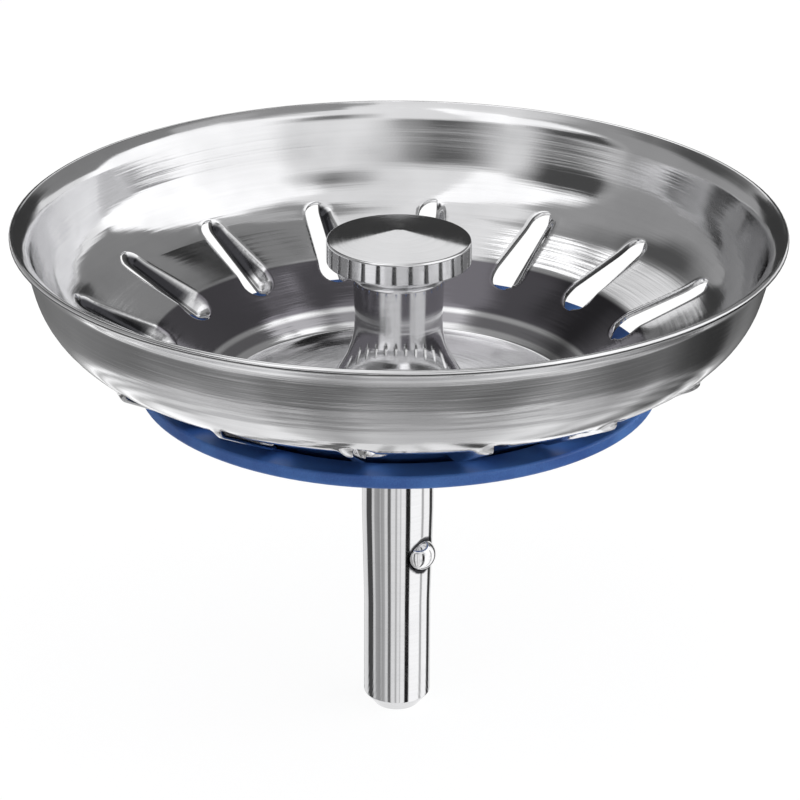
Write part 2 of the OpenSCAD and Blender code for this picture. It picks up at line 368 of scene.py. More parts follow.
def makePressedSteel():
    look = pressedLook
    material, tree, shader = newMaterial("pressedSteel")
    clouds = remap(tree, cloud(tree, look["cloudSize"], detail=3.0), *look["cloudSpan"], 0.0, 1.0)
    lines = toolLines(tree, look["lineWidth"], look["lineChanges"], detail=3.0)
    waves = cloud(tree, look["waveSize"], detail=1.0, seed=5.0)
    grain = cloud(tree, look["grainSize"], seed=9.0)
    clouded = calc(tree, "MULTIPLY", clouds, look["cloudShare"])
    worn = calc(tree, "MULTIPLY_ADD", lines, look["lineShare"], clouded)
    steel = blend(tree, worn, look["bright"], look["dull"])
    # The louvres' painted dark reflection, from the mesh: 1 dark, -1 none at their lower ends, 0
    # off them
    mark = tree.nodes.new("ShaderNodeAttribute")
    mark.attribute_name = "paintedLouvreDark"
    tone = mark.outputs["Fac"]
    # Painted dark reflection on the ring, left off on the louvres, which take their own
    withPaintedRing = blend(tree, paintedRingReflection(tree), steel, look["paintedDark"])
    steel = blend(tree, calc(tree, "ABSOLUTE", tone), withPaintedRing, steel)
    # Painted dark reflection on the louvres, left off towards one side
    dark = calc(tree, "MAXIMUM", tone, 0.0)
    dark = calc(tree, "MULTIPLY", dark, paintedDarkKept(tree, look["paintedLouvreDarkGap"]))
    setFinish(tree, shader, blend(tree, dark, steel, look["paintedLouvreDark"]), worn, look)
    normal = bump(tree, waves, look["waveDepth"])
    normal = bump(tree, lines, look["lineDepth"], normal)
    tree.links.new(bump(tree, grain, look["grainDepth"], normal), shader.inputs["Normal"])
    return material


# Bar turned on a lathe: fine grooves round the axis stretch its reflections
knobLook = {
    "metallic": 1,
    "dull": (0.58, 0.58, 0.59, 1),
    "bright": (0.78, 0.78, 0.79, 1),
    "roughness": (0.05, 0.12),
    "wornSpan": (0.35, 0.65),
    "stretch": 0.35,
    "grooveWidth": 0.16,
    "grooveChanges": 0.6,
    "grooveShare": 0.5,
    "grooveDepth": 0.0035,
    "smudgeSize": 4.0,
    "smudgeShare": 0.5,
}
pinLook = {
    "metallic": 1,
    "dull": (0.62, 0.62, 0.63, 1),
    "bright": (0.78, 0.78, 0.79, 1),
    "roughness": (0.04, 0.10),
    "wornSpan": (0.35, 0.65),
    "stretch": 0.2,
    "grooveWidth": 0.2,
    "grooveChanges": 0.8,
    "grooveShare": 0.5,
    "grooveDepth": 0.0016,
    "smudgeSize": 3.0,
    "smudgeShare": 0.5,
    # Painted shade in the gap round the ball: its colour, radius, fade and raggedness
    "paintedGapShadeColour": (0.03, 0.03, 0.034, 1),
    "paintedGapShadeRadius": 2.08,
    "paintedGapShadeFade": 0.14,
    "paintedGapShadeSize": 0.5,
}


# Painted shade in the gap round the ball, at the mouth of its bore
def paintedBoreGapShade(tree, look):
    x, y, z = split(tree, objectPlace(tree))
    apart = span(tree, y, calc(tree, "SUBTRACT", z, boreHeight * millimetre))
    edge, soft = look["paintedGapShadeRadius"] * millimetre, look["paintedGapShadeFade"] * millimetre
    uneven = calc(tree, "SUBTRACT", cloud(tree, look["paintedGapShadeSize"], seed=4.0), 0.5)
    ragged = calc(tree, "MULTIPLY_ADD", uneven, soft * 2, apart)
    near = remap(tree, ragged, edge - soft, edge + soft, 1.0, 0.0)
    return calc(tree, "MULTIPLY", near, calc(tree, "GREATER_THAN", x, 0.0))


def makeTurnedSteel(name, look):
    material, tree, shader = newMaterial(name)
    grooves = toolLines(tree, look["grooveWidth"], look["grooveChanges"], detail=3.0)
    smudges = cloud(tree, look["smudgeSize"], detail=3.0, seed=2.0)
    smudged = calc(tree, "MULTIPLY", smudges, look["smudgeShare"])
    worn = calc(tree, "MULTIPLY_ADD", grooves, look["grooveShare"], smudged)
    steel = blend(tree, worn, look["bright"], look["dull"])
    # Painted shade round the ball
    if "paintedGapShadeColour" in look:
        steel = blend(tree, paintedBoreGapShade(tree, look), steel, look["paintedGapShadeColour"])
    setFinish(tree, shader, steel, worn, look)
    shader.inputs["Anisotropic"].default_value = look["stretch"]
    tree.links.new(roundTangent(tree), shader.inputs["Tangent"])
    tree.links.new(bump(tree, grooves, look["grooveDepth"]), shader.inputs["Normal"])
    return material


# The ball is rubbed in patches, and the spring is oily in patches
ballLook = {
    "metallic": 1,
    "bright": (0.80, 0.80, 0.81, 1),
    "dull": (0.60, 0.60, 0.61, 1),
    "roughness": (0.10, 0.24),
    "wornSpan": (0.0, 1.0),
    "patchSize": 0.6,
    "patchSpan": (0.45, 0.75),
    "patchDetail": 4.0,
    "patchSeed": 3.0,
    "grainSize": 0.12,
    "grainSeed": 7.0,
    "grainDepth": 0.0006,
}
springLook = {
    "metallic": 1,
    "bright": (0.42, 0.41, 0.40, 1),
    "dull": (0.24, 0.23, 0.22, 1),
    "roughness": (0.24, 0.42),
    "wornSpan": (0.0, 1.0),
    "patchSize": 0.4,
    "patchSpan": (0.4, 0.65),
    "patchDetail": 3.0,
    "patchSeed": 1.0,
    "grainSize": 0.06,
    "grainSeed": 4.0,
    "grainDepth": 0.001,
}


def makePatchySteel(name, look):
    material, tree, shader = newMaterial(name)
    patches = cloud(tree, look["patchSize"], look["patchDetail"], look["patchSeed"])
    worn = remap(tree, patches, *look["patchSpan"], 0.0, 1.0)
    setFinish(tree, shader, blend(tree, worn, look["bright"], look["dull"]), worn, look)
    grain = cloud(tree, look["grainSize"], seed=look["grainSeed"])
    tree.links.new(bump(tree, grain, look["grainDepth"]), shader.inputs["Normal"])
    return material


# Moulded rubber: blue with a fine matt grain and faint flow lines, deeper in cloudy patches
rubberLook = {
    "metallic": 0,
    "deep": (0.030, 0.098, 0.36, 1),
    "plain": (0.066, 0.195, 0.54, 1),
    "roughness": (0.40, 0.58),
    "wornSpan": (0.0, 1.0),
    "toneSpan": (0.45, 0.9),
    "cloudSize": 7.0,
    "grainSize": 0.16,
    "grainShare": 0.35,
    "grainDepth": 0.006,
    "flowWidth": 0.9,
    "flowChanges": 1.2,
    "flowDepth": 0.012,
}


def makeBlueRubber():
    look = rubberLook
    material, tree, shader = newMaterial("blueRubber")
    clouds = cloud(tree, look["cloudSize"], detail=4.0, seed=6.0)
    grain = cloud(tree, look["grainSize"], detail=3.0, seed=8.0)
    mixed = calc(tree, "MULTIPLY_ADD", grain, look["grainShare"], clouds)
    tone = remap(tree, mixed, *look["toneSpan"], 0.0, 1.0)
    setFinish(tree, shader, blend(tree, tone, look["deep"], look["plain"]), tone, look)
    flow = toolLines(tree, look["flowWidth"], look["flowChanges"], seed=3.0)
    normal = bump(tree, flow, look["flowDepth"])
    tree.links.new(bump(tree, grain, look["grainDepth"], normal), shader.inputs["Normal"])
    return material


pressedSteel = makePressedSteel()
knobSteel = makeTurnedSteel("knobSteel", knobLook)
pinSteel = makeTurnedSteel("pinSteel", pinLook)
ballSteel = makePatchySteel("ballSteel", ballLook)
springSteel = makePatchySteel("springSteel", springLook)
blueRubber = makeBlueRubber()
print("materials made")

# The bowl's sheet follows its middle line from the hole in the floor to the rim
bowl = {
    "rimRadius": 40.0,
    "floorUnder": 34.2,
    "depth": 19.85,
    "sheet": 0.7,
    "holeRadius": 2.05,
    "floorRadius": 18.85,
    "stepWidth": 2.6,
    "stepRise": 2.22,
    "ringWidth": 4.65,
    "kneeRise": 5.66,
    "apronAngle": 21.2,
    "wallAngle": 75.5,
    "lipWidth": 1.6,
    "lipHeight": 1.35,
    "floorBend": 1.0,
    "kneeBend": 1.5,
    "wallBend": 9.15,
    "lipBend": 2.2,
    "rimSteps": 6,
    "rowLength": 1.0,
    "rowTurn": 5.0,
    "rowGap": 0.05,
}

# One slot and its louvre: the slot runs from "lowOut" past the step to "topIn" inside the rim
louvre = {
    "count": 16,
    "lowOut": 1.95,
    "topIn": 5.8,
    "lowWidth": 4.0,
    "topWidth": 3.15,
    "dip": 0.9,  # how deep the louvre lies
    "narrow": 1.3,  # width of its slope
    "thick": 0.5,
    "lap": -0.3,  # place of its free edge across the slot
    "fade": 0.4,
    "endWall": 0.15,
    "capSteps": 7,
    "capOnSide": 3,
    "sideSteps": 14,
    "acrossSteps": 8,
    "acrossPower": 1.25,
    "loops": (0, 0.09, 0.2, 0.36, 0.58, 0.8, 1),
    "below": 1.5,
    "above": 2.2,
    "edgeBevel": 0.06,
    "bevelTurn": 51.6,  # edges that turn more are rounded, further out than the next radius
    "bevelFrom": 10.0,
    "smoothTurn": 50.0,
    # Where the louvres' painted dark reflection is left off at their lower ends, and how fast it
    # comes in
    "brightEnd": 2.1,
    "paintedDarkRise": 2.5,
}


# Straight stretches and arcs of the sheet's middle line: start, heading, length, turn, bend radius
def sheetStretches():
    middle = bowl["floorUnder"] + bowl["sheet"] / 2
    rimTop = bowl["floorUnder"] + bowl["depth"]
    step = Vector((bowl["floorRadius"] + bowl["stepWidth"], middle + bowl["stepRise"]))
    knee = Vector((step.x + bowl["ringWidth"], middle + bowl["kneeRise"]))
    lip = Vector((bowl["rimRadius"] - bowl["lipWidth"], rimTop - bowl["lipHeight"]))
    edge = Vector((bowl["rimRadius"] - bowl["sheet"] / 2, rimTop - bowl["sheet"] / 2))
    apron, wall = math.radians(bowl["apronAngle"]), math.radians(bowl["wallAngle"])
    across = -leftOf(wall)
    foot = knee + heading(apron) * ((lip - knee).dot(across) / heading(apron).dot(across))
    hole, floor = Vector((bowl["holeRadius"], middle)), Vector((bowl["floorRadius"], middle))
    corners = [hole, floor, step, knee, foot, lip, edge]
    kneeBend = bowl["kneeBend"]
    bends = [0, bowl["floorBend"], kneeBend, kneeBend, bowl["wallBend"], bowl["lipBend"], 0]
    stretches, here = [], corners[0]
    for i in range(1, len(corners)):
        wayIn = wayBetween(corners[i - 1], corners[i])
        turn = wayBetween(corners[i], corners[i + 1]) - wayIn if i < len(corners) - 1 else 0
        reach = bends[i] * math.tan(abs(turn) / 2)
        end = corners[i] - heading(wayIn) * reach
        stretches.append((here, wayIn, (end - here).length, 0, 0))
        if turn:
            stretches.append((end, wayIn, bends[i] * abs(turn), turn, bends[i]))
        here = corners[i] + heading(wayIn + turn) * reach
    return stretches


stretches = sheetStretches()
sheetLength = sum(s[2] for s in stretches)
halfSheet = bowl["sheet"] / 2


# Point of the section at a length along the middle line, moved to the left, and the heading there
def sheetPoint(along, shift):
    for start, way, length, turn, bend in stretches:
        if along <= length or start is stretches[-1][0]:
            break
        along -= length
    if not turn:
        return start + heading(way) * along + leftOf(way) * shift, way
    side = 1 if turn > 0 else -1
    now = way + turn * along / length
    centre = start + leftOf(way) * bend * side
    return centre - leftOf(now) * (bend * side - shift), now


# Length along the middle line up to which the inner face passes a test
def lengthWhile(test):
    low, high = 0.0, sheetLength
    while high - low > nearZero:
        half = (low + high) / 2
        low, high = (half, high) if test(sheetPoint(half, halfSheet)[0]) else (low, half)
    return low


def lengthAtRadius(radius):
    return lengthWhile(lambda point: point.x < radius)


stepRadius = bowl["floorRadius"] + bowl["stepWidth"]
slotLow = sheetPoint(lengthAtRadius(stepRadius + louvre["lowOut"]), halfSheet)[0]
slotTop = sheetPoint(lengthAtRadius(bowl["rimRadius"] - louvre["topIn"]), halfSheet)[0]
slotLength = (slotTop - slotLow).length
slotWay = wayBetween(slotLow, slotTop)
lowRadius, topRadius = louvre["lowWidth"] / 2, louvre["topWidth"] / 2
slotLean = math.asin((lowRadius - topRadius) / (slotLength - lowRadius - topRadius))
halfSector = math.pi / louvre["count"]


# Places on a slot are u, along it from its lower end, and y, across it
def lengthAtSlot(u):
    return lengthWhile(lambda point: (point - slotLow).dot(heading(slotWay)) < u)


# How far inside the slot's outline a place lies
def slotInset(u, y):
    low, top = lowRadius, slotLength - topRadius
    part = min(max((u - low) / (top - low), 0), 1)
    return between(lowRadius, topRadius, part) - math.hypot(u - between(low, top, part), y)


# Point of the inner or outer face, in the frame of one slot, with the louvre pressed down under
# it, or the louvre's painted dark reflection there: 1 dark, -1 none at its lower end, 0 off it
def facePoint(along, y, outer, tone=False):
    inner = sheetPoint(along, halfSheet)[0]
    point = sheetPoint(along, -halfSheet)[0] if outer else inner
    flat = math.sqrt(inner.x ** 2 - y ** 2)
    across = y * point.x / inner.x
    place = Vector((flat * point.x / inner.x, point.y))
    u = (Vector((flat, inner.y)) - slotLow).dot(heading(slotWay))
    grown = louvre["thick"] if outer else 0
    inset = slotInset(u, y)
    pressed = ease((inset + grown) / louvre["narrow"])
    if outer:
        pressed *= ease((louvre["lap"] - y) / louvre["fade"] + max(inset, 0) / louvre["endWall"])
    elif y > louvre["lap"] + nearZero:
        pressed = 0
    if tone:
        # Painted dark reflection on the louvre's inner face, left off at its lower end
        upwards = 2 * ease((u - louvre["brightEnd"]) / louvre["brightEnd"]) - 1
        return 0 if outer else ease(pressed * louvre["paintedDarkRise"]) * upwards
    height = (place - slotLow).dot(leftOf(slotWay))
    place += leftOf(slotWay) * (-louvre["dip"] - grown - height) * pressed
    return Vector((place.x, across, place.y)) * millimetre


# Half of a slot's outline, from its lower to its upper end: side -1 is pressed, side 1 punched
def slotOutline(side):
    steps = louvre["capSteps"]
    lapLow = math.asin(louvre["lap"] / lowRadius)
    lapTop = math.asin(louvre["lap"] / topRadius)
    low, top = lowRadius, slotLength - topRadius
    quarter = math.pi / 2
    lowEnd = 3 * quarter + slotLean if side < 0 else quarter - slotLean
    topStart = slotLean - quarter if side < 0 else quarter - slotLean
    lowTurn = [between(math.pi - lapLow, lowEnd, k / steps) for k in range(steps + 1)]
    topTurn = [between(topStart, lapTop, k / steps) for k in range(steps + 1)]
    lowCap = [(low + lowRadius * math.cos(a), lowRadius * math.sin(a)) for a in lowTurn]
    topCap = [(top + topRadius * math.cos(a), topRadius * math.sin(a)) for a in topTurn]
    parts = [k / louvre["sideSteps"] for k in range(1, louvre["sideSteps"])]
    straight = [tuple(between(a, b, part) for a, b in zip(lowCap[-1], topCap[0])) for part in parts]
    return [(lengthAtSlot(u), y) for u, y in lowCap + straight + topCap]


# The border of the patch round a slot, with as many places as its outline has
def patchBorder(outline, side, bottom, top):
    steps, onSide = louvre["capSteps"], louvre["capOnSide"]
    onEnd = steps - onSide
    last = len(outline) - 1
    border, edge = [], side * halfSector
    for k, (along, _) in enumerate(outline):
        if k <= onEnd:
            border.append((bottom, edge * k / onEnd))
        elif k < steps:
            border.append((between(bottom, outline[steps][0], (k - onEnd) / onSide), edge))
        elif k <= last - steps:
            border.append((along, edge))
        elif k <= last - onEnd:
            part = (k - last + steps) / onSide
            border.append((between(outline[last - steps][0], top, part), edge))
        else:
            border.append((top, edge * (last - k) / onEnd))
    return border


# A point of the section, turned round the axis
def turned(point, angle):
    x, y = point.x * math.cos(angle), point.x * math.sin(angle)
    return Vector((x, y, point.y)) * millimetre


# One sector of the bowl: both faces of the sheet with a slot and its louvre, and their walls
def sectorMesh():
    mesh = bmesh.new()
    # Layer of the louvres' painted dark reflection
    paintedDark = mesh.verts.layers.float.new("paintedLouvreDark")
    innerAndOuter = (False, True)

    def newCorner(place, tone=0):
        corner = mesh.verts.new(place)
        corner[paintedDark] = tone
        return corner

    def grid(rows):
        corners = [[newCorner(*p) for p in row] for row in rows]
        for a, b in zip(corners, corners[1:]):
            for k in range(len(a) - 1):
                mesh.faces.new((a[k], b[k], b[k + 1], a[k + 1]))

    def facePlace(along, y, outer):
        return facePoint(along, y, outer), facePoint(along, y, outer, True)

    def faceAt(along, angle, outer):
        return facePlace(along, sheetPoint(along, halfSheet)[0].x * math.sin(angle), outer)

    bottom = lengthAtSlot(0) - louvre["below"]
    top = lengthAtSlot(slotLength) + louvre["above"]
    for side in (-1, 1):
        outline = slotOutline(side)
        border = patchBorder(outline, side, bottom, top)
        angles = [math.asin(y / sheetPoint(along, halfSheet)[0].x) for along, y in outline]
        for outer in innerAndOuter:
            grid([
                [
                    faceAt(between(a[0], b[0], w), between(angle, b[1], w), outer)
                    for a, b, angle in zip(outline, border, angles)
                ]
                for w in louvre["loops"]
            ])
        if side < 0:
            steps = louvre["acrossSteps"]
            across = [(k / steps) ** louvre["acrossPower"] for k in range(steps + 1)]
            lap = louvre["lap"]
            for outer in innerAndOuter:
                grid([
                    [facePlace(along, between(y, lap, w), outer) for along, y in outline]
                    for w in across
                ])
            grid([
                [facePlace(along, lap, outer) for along, _ in outline]
                for outer in innerAndOuter
            ])
        else:
            grid([[facePlace(along, y, outer) for along, y in outline] for outer in innerAndOuter])
    ends = louvre["capSteps"] - louvre["capOnSide"]
    angles = [halfSector * k / ends for k in range(-ends, ends + 1)]
    for first, last in ((0, bottom), (top, sheetLength)):
        lengths = rowLengths(first, last)
        for outer in innerAndOuter:
            grid([[faceAt(along, angle, outer) for angle in angles] for along in lengths])
    grid([[faceAt(0, angle, outer) for angle in angles] for outer in innerAndOuter])
    edge, way = sheetPoint(sheetLength, 0)
    rim = []
    for k in range(bowl["rimSteps"] + 1):
        point = edge + leftOf(way - math.pi * k / bowl["rimSteps"]) * halfSheet
        rim.append([(turned(point, angle),) for angle in angles])
    grid(rim)
    bmesh.ops.remove_doubles(mesh, verts=mesh.verts, dist=weldDistance)
    sector = bpy.data.meshes.new("louvreSector")
    mesh.to_mesh(sector)
    mesh.free()
    return sector


# Places along the middle line, close together in the bends
def rowLengths(first, last):
    places, start = [first], 0.0
    for _, _, length, turn, _ in stretches:
        byLength, byTurn = length / bowl["rowLength"], abs(math.degrees(turn)) / bowl["rowTurn"]
        steps = max(1, math.ceil(byLength), math.ceil(byTurn))
        places += [start + length * k / steps for k in range(1, steps + 1)]
        start += length
    return [p for p in places if first <= p < last - bowl["rowGap"]] + [last]


# Node tree that sets sectors side by side round the axis and welds them
def sectorRingTree():
    tree = bpy.data.node_groups.new("sectorRing", "GeometryNodeTree")
    newSocket(tree, "Geometry", "Geometry")
    newSocket(tree, "Slot Count", "Int")
    newSocket(tree, "First Angle", "Float")
    newSocket(tree, "Weld Distance", "Float")
    newSocket(tree, "Steel", "Material")
    newSocket(tree, "Geometry", "Geometry", "OUTPUT")
    given, result = tree.nodes.new("NodeGroupInput"), tree.nodes.new("NodeGroupOutput")
    places = tree.nodes.new("GeometryNodePoints")
    index = tree.nodes.new("GeometryNodeInputIndex")
    rotation = tree.nodes.new("FunctionNodeEulerToRotation")
    copies = tree.nodes.new("GeometryNodeInstanceOnPoints")
    real = tree.nodes.new("GeometryNodeRealizeInstances")
    weld = tree.nodes.new("GeometryNodeMergeByDistance")
    smooth = tree.nodes.new("GeometryNodeSetShadeSmooth")
    finish = tree.nodes.new("GeometryNodeSetMaterial")
    step = calc(tree, "DIVIDE", 2 * math.pi, given.outputs["Slot Count"])
    angle = calc(tree, "MULTIPLY_ADD", index.outputs[0], step, given.outputs["First Angle"])
    for output, socket in (
        (given.outputs["Slot Count"], places.inputs["Count"]),
        (join(tree, 0.0, 0.0, angle), rotation.inputs[0]),
        (places.outputs[0], copies.inputs["Points"]),
        (given.outputs["Geometry"], copies.inputs["Instance"]),
        (rotation.outputs[0], copies.inputs["Rotation"]),
        (copies.outputs[0], real.inputs[0]),
        (real.outputs[0], weld.inputs["Geometry"]),
        (given.outputs["Weld Distance"], weld.inputs["Distance"]),
        (weld.outputs[0], smooth.inputs["Geometry"]),
        (smooth.outputs[0], finish.inputs["Geometry"]),
        (given.outputs["Steel"], finish.inputs["Material"]),
        (finish.outputs[0], result.inputs[0]),
    ):
        tree.links.new(output, socket)
    return tree


def makeBowl():
    sector = newObject("sector", sectorMesh())
    modifier = sector.modifiers.new("sectorRing", "NODES")
    modifier.node_group = sectorRingTree()
    setInputs(modifier, {
        "Slot Count": louvre["count"],
        "First Angle": halfSector,
        "Weld Distance": weldDistance,
        "Steel": pressedSteel,
    })
    mesh = bakedMesh(sector, "strainerBowl")
    shape = bmesh.new()
    shape.from_mesh(mesh)
    bmesh.ops.recalc_face_normals(shape, faces=shape.faces)
    sharp = [
        e for e in shape.edges
        if len(e.link_faces) == 2 and e.calc_face_angle() > math.radians(louvre["bevelTurn"])
        and min(v.co.xy.length for v in e.verts) > louvre["bevelFrom"] * millimetre
    ]
    bmesh.ops.bevel(
        shape, geom=sharp, offset=louvre["edgeBevel"] * millimetre, segments=2, profile=0.5,
        affect="EDGES", clamp_overlap=False,
    )
    loose = [e for e in shape.edges if len(e.link_faces) != 2]
    print("bowl:", len(shape.faces), "faces,", len(sharp), "sharp edges,", len(loose), "open edges")
    shape.to_mesh(mesh)
    shape.free()
    mesh.shade_smooth()
    mesh.set_sharp_from_angle(angle=math.radians(louvre["smoothTurn"]))
    addPiece("strainerBowl", mesh, pressedSteel, "strainer", "pressed_steel", "strainer_basket")


makeBowl()

# Corners of the turned pieces are (radius, height, bend)
knob = {
    "corners": [
        (0, 41.8, 0), (2.05, 41.8, 0.1), (2.05, 34.9, 0.1), (7.2, 34.9, 0.1), (7.2, 36.3, 0.25),
        (4.47, 40.86, 9.5), (4.77, 48.4, 0.9), (7.53, 49.85, 0.2), (7.53, 52.2, 0.28),
        (0.35, 53.25, 0.2), (0, 53.27, 0),
    ],
}
knobMesh = turnedMesh("liftingKnob", roundedRows(knob["corners"]))
addPiece("liftingKnob", knobMesh, knobSteel, "strainer", "turned_steel", "knob")

seal = {
    "corners": [
        (2.05, 33.4, 0.1), (18.35, 33.4, 1.2), (27.2, 36.265, 0.4), (27.2, 37.6, 0.3),
        (22.83, 37.08, 0.3), (21.73, 36.39, 0.5), (19.2, 34.2, 0.3), (2.05, 34.2, 0.1),
    ],
}
sealMesh = turnedMesh("rubberSeal", roundedRows(seal["corners"], closed=True), closed=True)
addPiece("rubberSeal", sealMesh, blueRubber, "strainer", "blue_rubber", "seal_ring")

plate = {
    "corners": [(2.05, 32.8, 0.08), (18.0, 32.8, 0.15), (18.0, 33.4, 0.08), (2.05, 33.4, 0.08)],
}
plateMesh = turnedMesh("clampingPlate", roundedRows(plate["corners"], closed=True), closed=True)
addPiece("clampingPlate", plateMesh, pressedSteel, "strainer", "pressed_steel", "seal_plate")

# The bore's corners are (radius, place along X, bend), from its inner end to the air outside
pin = {
    "corners": [
        (0, -1.4, 0), (2.4, -1.4, 0.2), (3.56, 0, 0.3), (3.56, 11.4, 8), (3.8, 21.9, 8),
        (3.8, 26.6, 0.8), (5.6, 30.5, 0.5), (5.8, 31.3, 0.3), (8, 31.3, 0.35), (8, 32.8, 0.15),
        (2.0, 32.8, 0.1), (2.0, 40.8, 0.25), (0, 40.8, 0),
    ],
    "bore": [
        (0, -2.2, 0), (1.83, -2.2, 0.1), (1.83, 3.47, 0.02), (1.73, 3.47, 0.02), (1.73, 3.59, 0.03),
        (2.25, 3.69, 0.01), (2.25, 4.69, 0.01), (0, 4.69, 0),
    ],
    "boreSegments": 96,
    "smoothTurn": 25.0,
    "wallFit": 0.985,
    "boreFit": 0.97,
    "fitFrom": 1.0,
}


# A turned mesh laid along the X axis through the bore's place
def alongBore(mesh):
    raised = Matrix.Translation((0, 0, boreHeight * millimetre))
    mesh.transform(raised @ Matrix.Rotation(math.pi / 2, 4, "Y"))
    return mesh


# The wall and the bore get the normals of their own round forms, which the cut leaves uneven
def smoothPin(mesh):
    mesh.shade_smooth()
    mesh.set_sharp_from_angle(angle=math.radians(pin["smoothTurn"]))
    normals = [Vector(n.vector) for n in mesh.corner_normals]
    axisHeight = boreHeight * millimetre
    for face in mesh.polygons:
        for corner in face.loop_indices:
            place = mesh.vertices[mesh.loops[corner].vertex_index].co
            wall = Vector((place.x, place.y, 0))
            bore = Vector((0, -place.y, axisHeight - place.z))
            for way, fit in ((wall, pin["wallFit"]), (bore, pin["boreFit"])):
                farEnough = way.length > pin["fitFrom"] * millimetre
                if farEnough and face.normal.dot(way.normalized()) > fit:
                    normals[corner] = way.normalized()
                    break
    mesh.normals_split_custom_set(normals)


def makePin():
    body = newObject("pinBody", turnedMesh("pinBody", roundedRows(pin["corners"])))
    boreMesh = turnedMesh("boreCutter", roundedRows(pin["bore"]), segments=pin["boreSegments"])
    cutter = newObject("boreCutter", alongBore(boreMesh))
    cut = body.modifiers.new("bore", "BOOLEAN")
    cut.operation = "DIFFERENCE"
    cut.solver = "EXACT"
    cut.object = cutter
    mesh = bakedMesh(body, "guidePin")
    bpy.data.objects.remove(cutter)
    smoothPin(mesh)
    addPiece("guidePin", mesh, pinSteel, "strainer", "turned_steel", "guide_pin")


makePin()

ball = {"radius": 1.75, "place": (3.05, 0, boreHeight), "subdivisions": 5}


def makeBall():
    mesh = bpy.data.meshes.new("catchBall")
    shape = bmesh.new()
    radius = ball["radius"] * millimetre
    bmesh.ops.create_icosphere(shape, subdivisions=ball["subdivisions"], radius=radius)
    bmesh.ops.translate(shape, verts=shape.verts, vec=Vector(ball["place"]) * millimetre)
    shape.to_mesh(mesh)
    shape.free()
    mesh.shade_smooth()
    addPiece("catchBall", mesh, ballSteel, "ball", "ball_steel", "catch_ball")


makeBall()

# The spring's start and end are places along X, and "pressed" is the share of its length that
# is left when the ball is in
spring = {
    "start": -2.0,
    "end": 1.755,
    "coil": 1.455,
    "wire": 0.34,
    "turns": 4,
    "turnSteps": 32,
    "sides": 12,
    "smoothTurn": 40.0,
    "pressed": 0.715,
}


# The open coil behind the ball, along the bore
def coilMesh(name):
    steps, sides, wire = spring["turns"] * spring["turnSteps"], spring["sides"], spring["wire"] / 2
    points, faces = [], []
    for i in range(steps + 1):
        around = 2 * math.pi * i / spring["turnSteps"]
        for k in range(sides):
            turn = 2 * math.pi * k / sides
            along = between(spring["start"], spring["end"], i / steps) + wire * math.sin(turn)
            out = spring["coil"] + wire * math.cos(turn)
            across, up = out * math.cos(around), out * math.sin(around)
            points.append(Vector((along, across, boreHeight + up)) * millimetre)
    for i in range(steps):
        for k in range(sides):
            a, b = i * sides + k, i * sides + (k + 1) % sides
            faces.append((a, a + sides, b + sides, b))
    faces += [tuple(range(sides)), tuple(steps * sides + k for k in reversed(range(sides)))]
    mesh = newMesh(name, points, faces)
    mesh.shade_smooth()
    mesh.set_sharp_from_angle(angle=math.radians(spring["smoothTurn"]))
    return mesh


springMesh = coilMesh("catchSpring")
coil = addPiece("catchSpring", springMesh, springSteel, "strainer", "spring_steel", "catch_spring")
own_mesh(coil)
print("pieces made")

# The photograph's view: the place is given round the middle of the rim
view = {
    "azimuth": 40.4,
    "elevation": 20.285,
    "distance": 361.0,
    "rimHeight": 53.9,
    "aimHeight": 34.12,
    "aimRight": 0.19,
    "roll": 0.3,
    "lens": 157.6,
    "sensor": 36.0,
    "nearest": 10,
    "furthest": 10000,
}


def makeCamera():
    a = math.radians(view["azimuth"])
    back = wayTo(view["azimuth"], view["elevation"])
    place = Vector((0, 0, view["rimHeight"])) + back * view["distance"]
    aim = Vector((math.cos(a), math.sin(a), 0)) * view["aimRight"]
    aim += Vector((0, 0, view["aimHeight"]))
    towards = (aim - place).normalized()
    right = towards.cross(upAxis).normalized()
    up = right.cross(towards)
    roll = math.radians(view["roll"])
    c, s = math.cos(roll), math.sin(roll)
    right, up = right * c + up * s, up * c - right * s
    data = bpy.data.cameras.new("camera")
    data.lens, data.sensor_width = view["lens"], view["sensor"]
    data.clip_start, data.clip_end = view["nearest"] * millimetre, view["furthest"] * millimetre
    camera = newObject("camera", data)
    turn = Matrix((right, up, -towards)).transposed().to_4x4()
    camera.matrix_world = Matrix.Translation(place * millimetre) @ turn
    bpy.context.scene.camera = camera


makeCamera()
print("camera set")

# Cards round the object, seen from its middle: azimuth from and to (0 on the camera's side, more
# to its right), elevation from and to, distance, strength, and the part of the half width over
# which the edge fades. Strength 1 is as bright as the white room: less is a grey card or a flag,
# more is a softbox.
studio = {
    "floorHeight": -1.41,
    "floorSize": 3000,
    "floorColour": (0.8, 0.8, 0.8, 1),
    "floorRoughness": 0.9,
    "floorGlow": 0.90,
    "shadowShare": 0.16,
    "middle": 45,
    "cardStep": 6,
    "cards": {
        "softboxLeft": (-76, -24, 28, 88, 1250, 1.45, 0.22),
        "softboxRight": (34, 122, -2, 66, 1250, 1.45, 0.20),
        "cardTopRight": (64, 176, 62, 86, 1180, 0.35, 0.45),
        "cardFrontHigh": (2, 52, 26, 66, 1100, 0.22, 0.95),
        "cardFrontLow": (-44, 14, -6, 38, 1100, 0.14, 0.90),
        "cardLeft": (-166, -72, -3, 70, 1200, 0.38, 0.25),
        "cardBackRight": (112, 171, 14, 66, 1120, 0.28, 0.16),
        "cardRimLeft": (106, 136, 53, 72, 1030, 0.55, 0.30),
        "flagFloor": (152, 180, 43, 53, 1020, 0.03, 0.12),
        "softboxFloor": (-179, -160, 41, 56, 1010, 1.9, 0.12),
        "flagLeft": (-84, -40, 1, 42, 1000, 0.08, 0.60),
        "flagBackLeft": (-168, -110, 18, 62, 1000, 0.10, 0.80),
        "flagBack": (148, 212, -3, 26, 1050, 0.05, 0.16),
    },
}


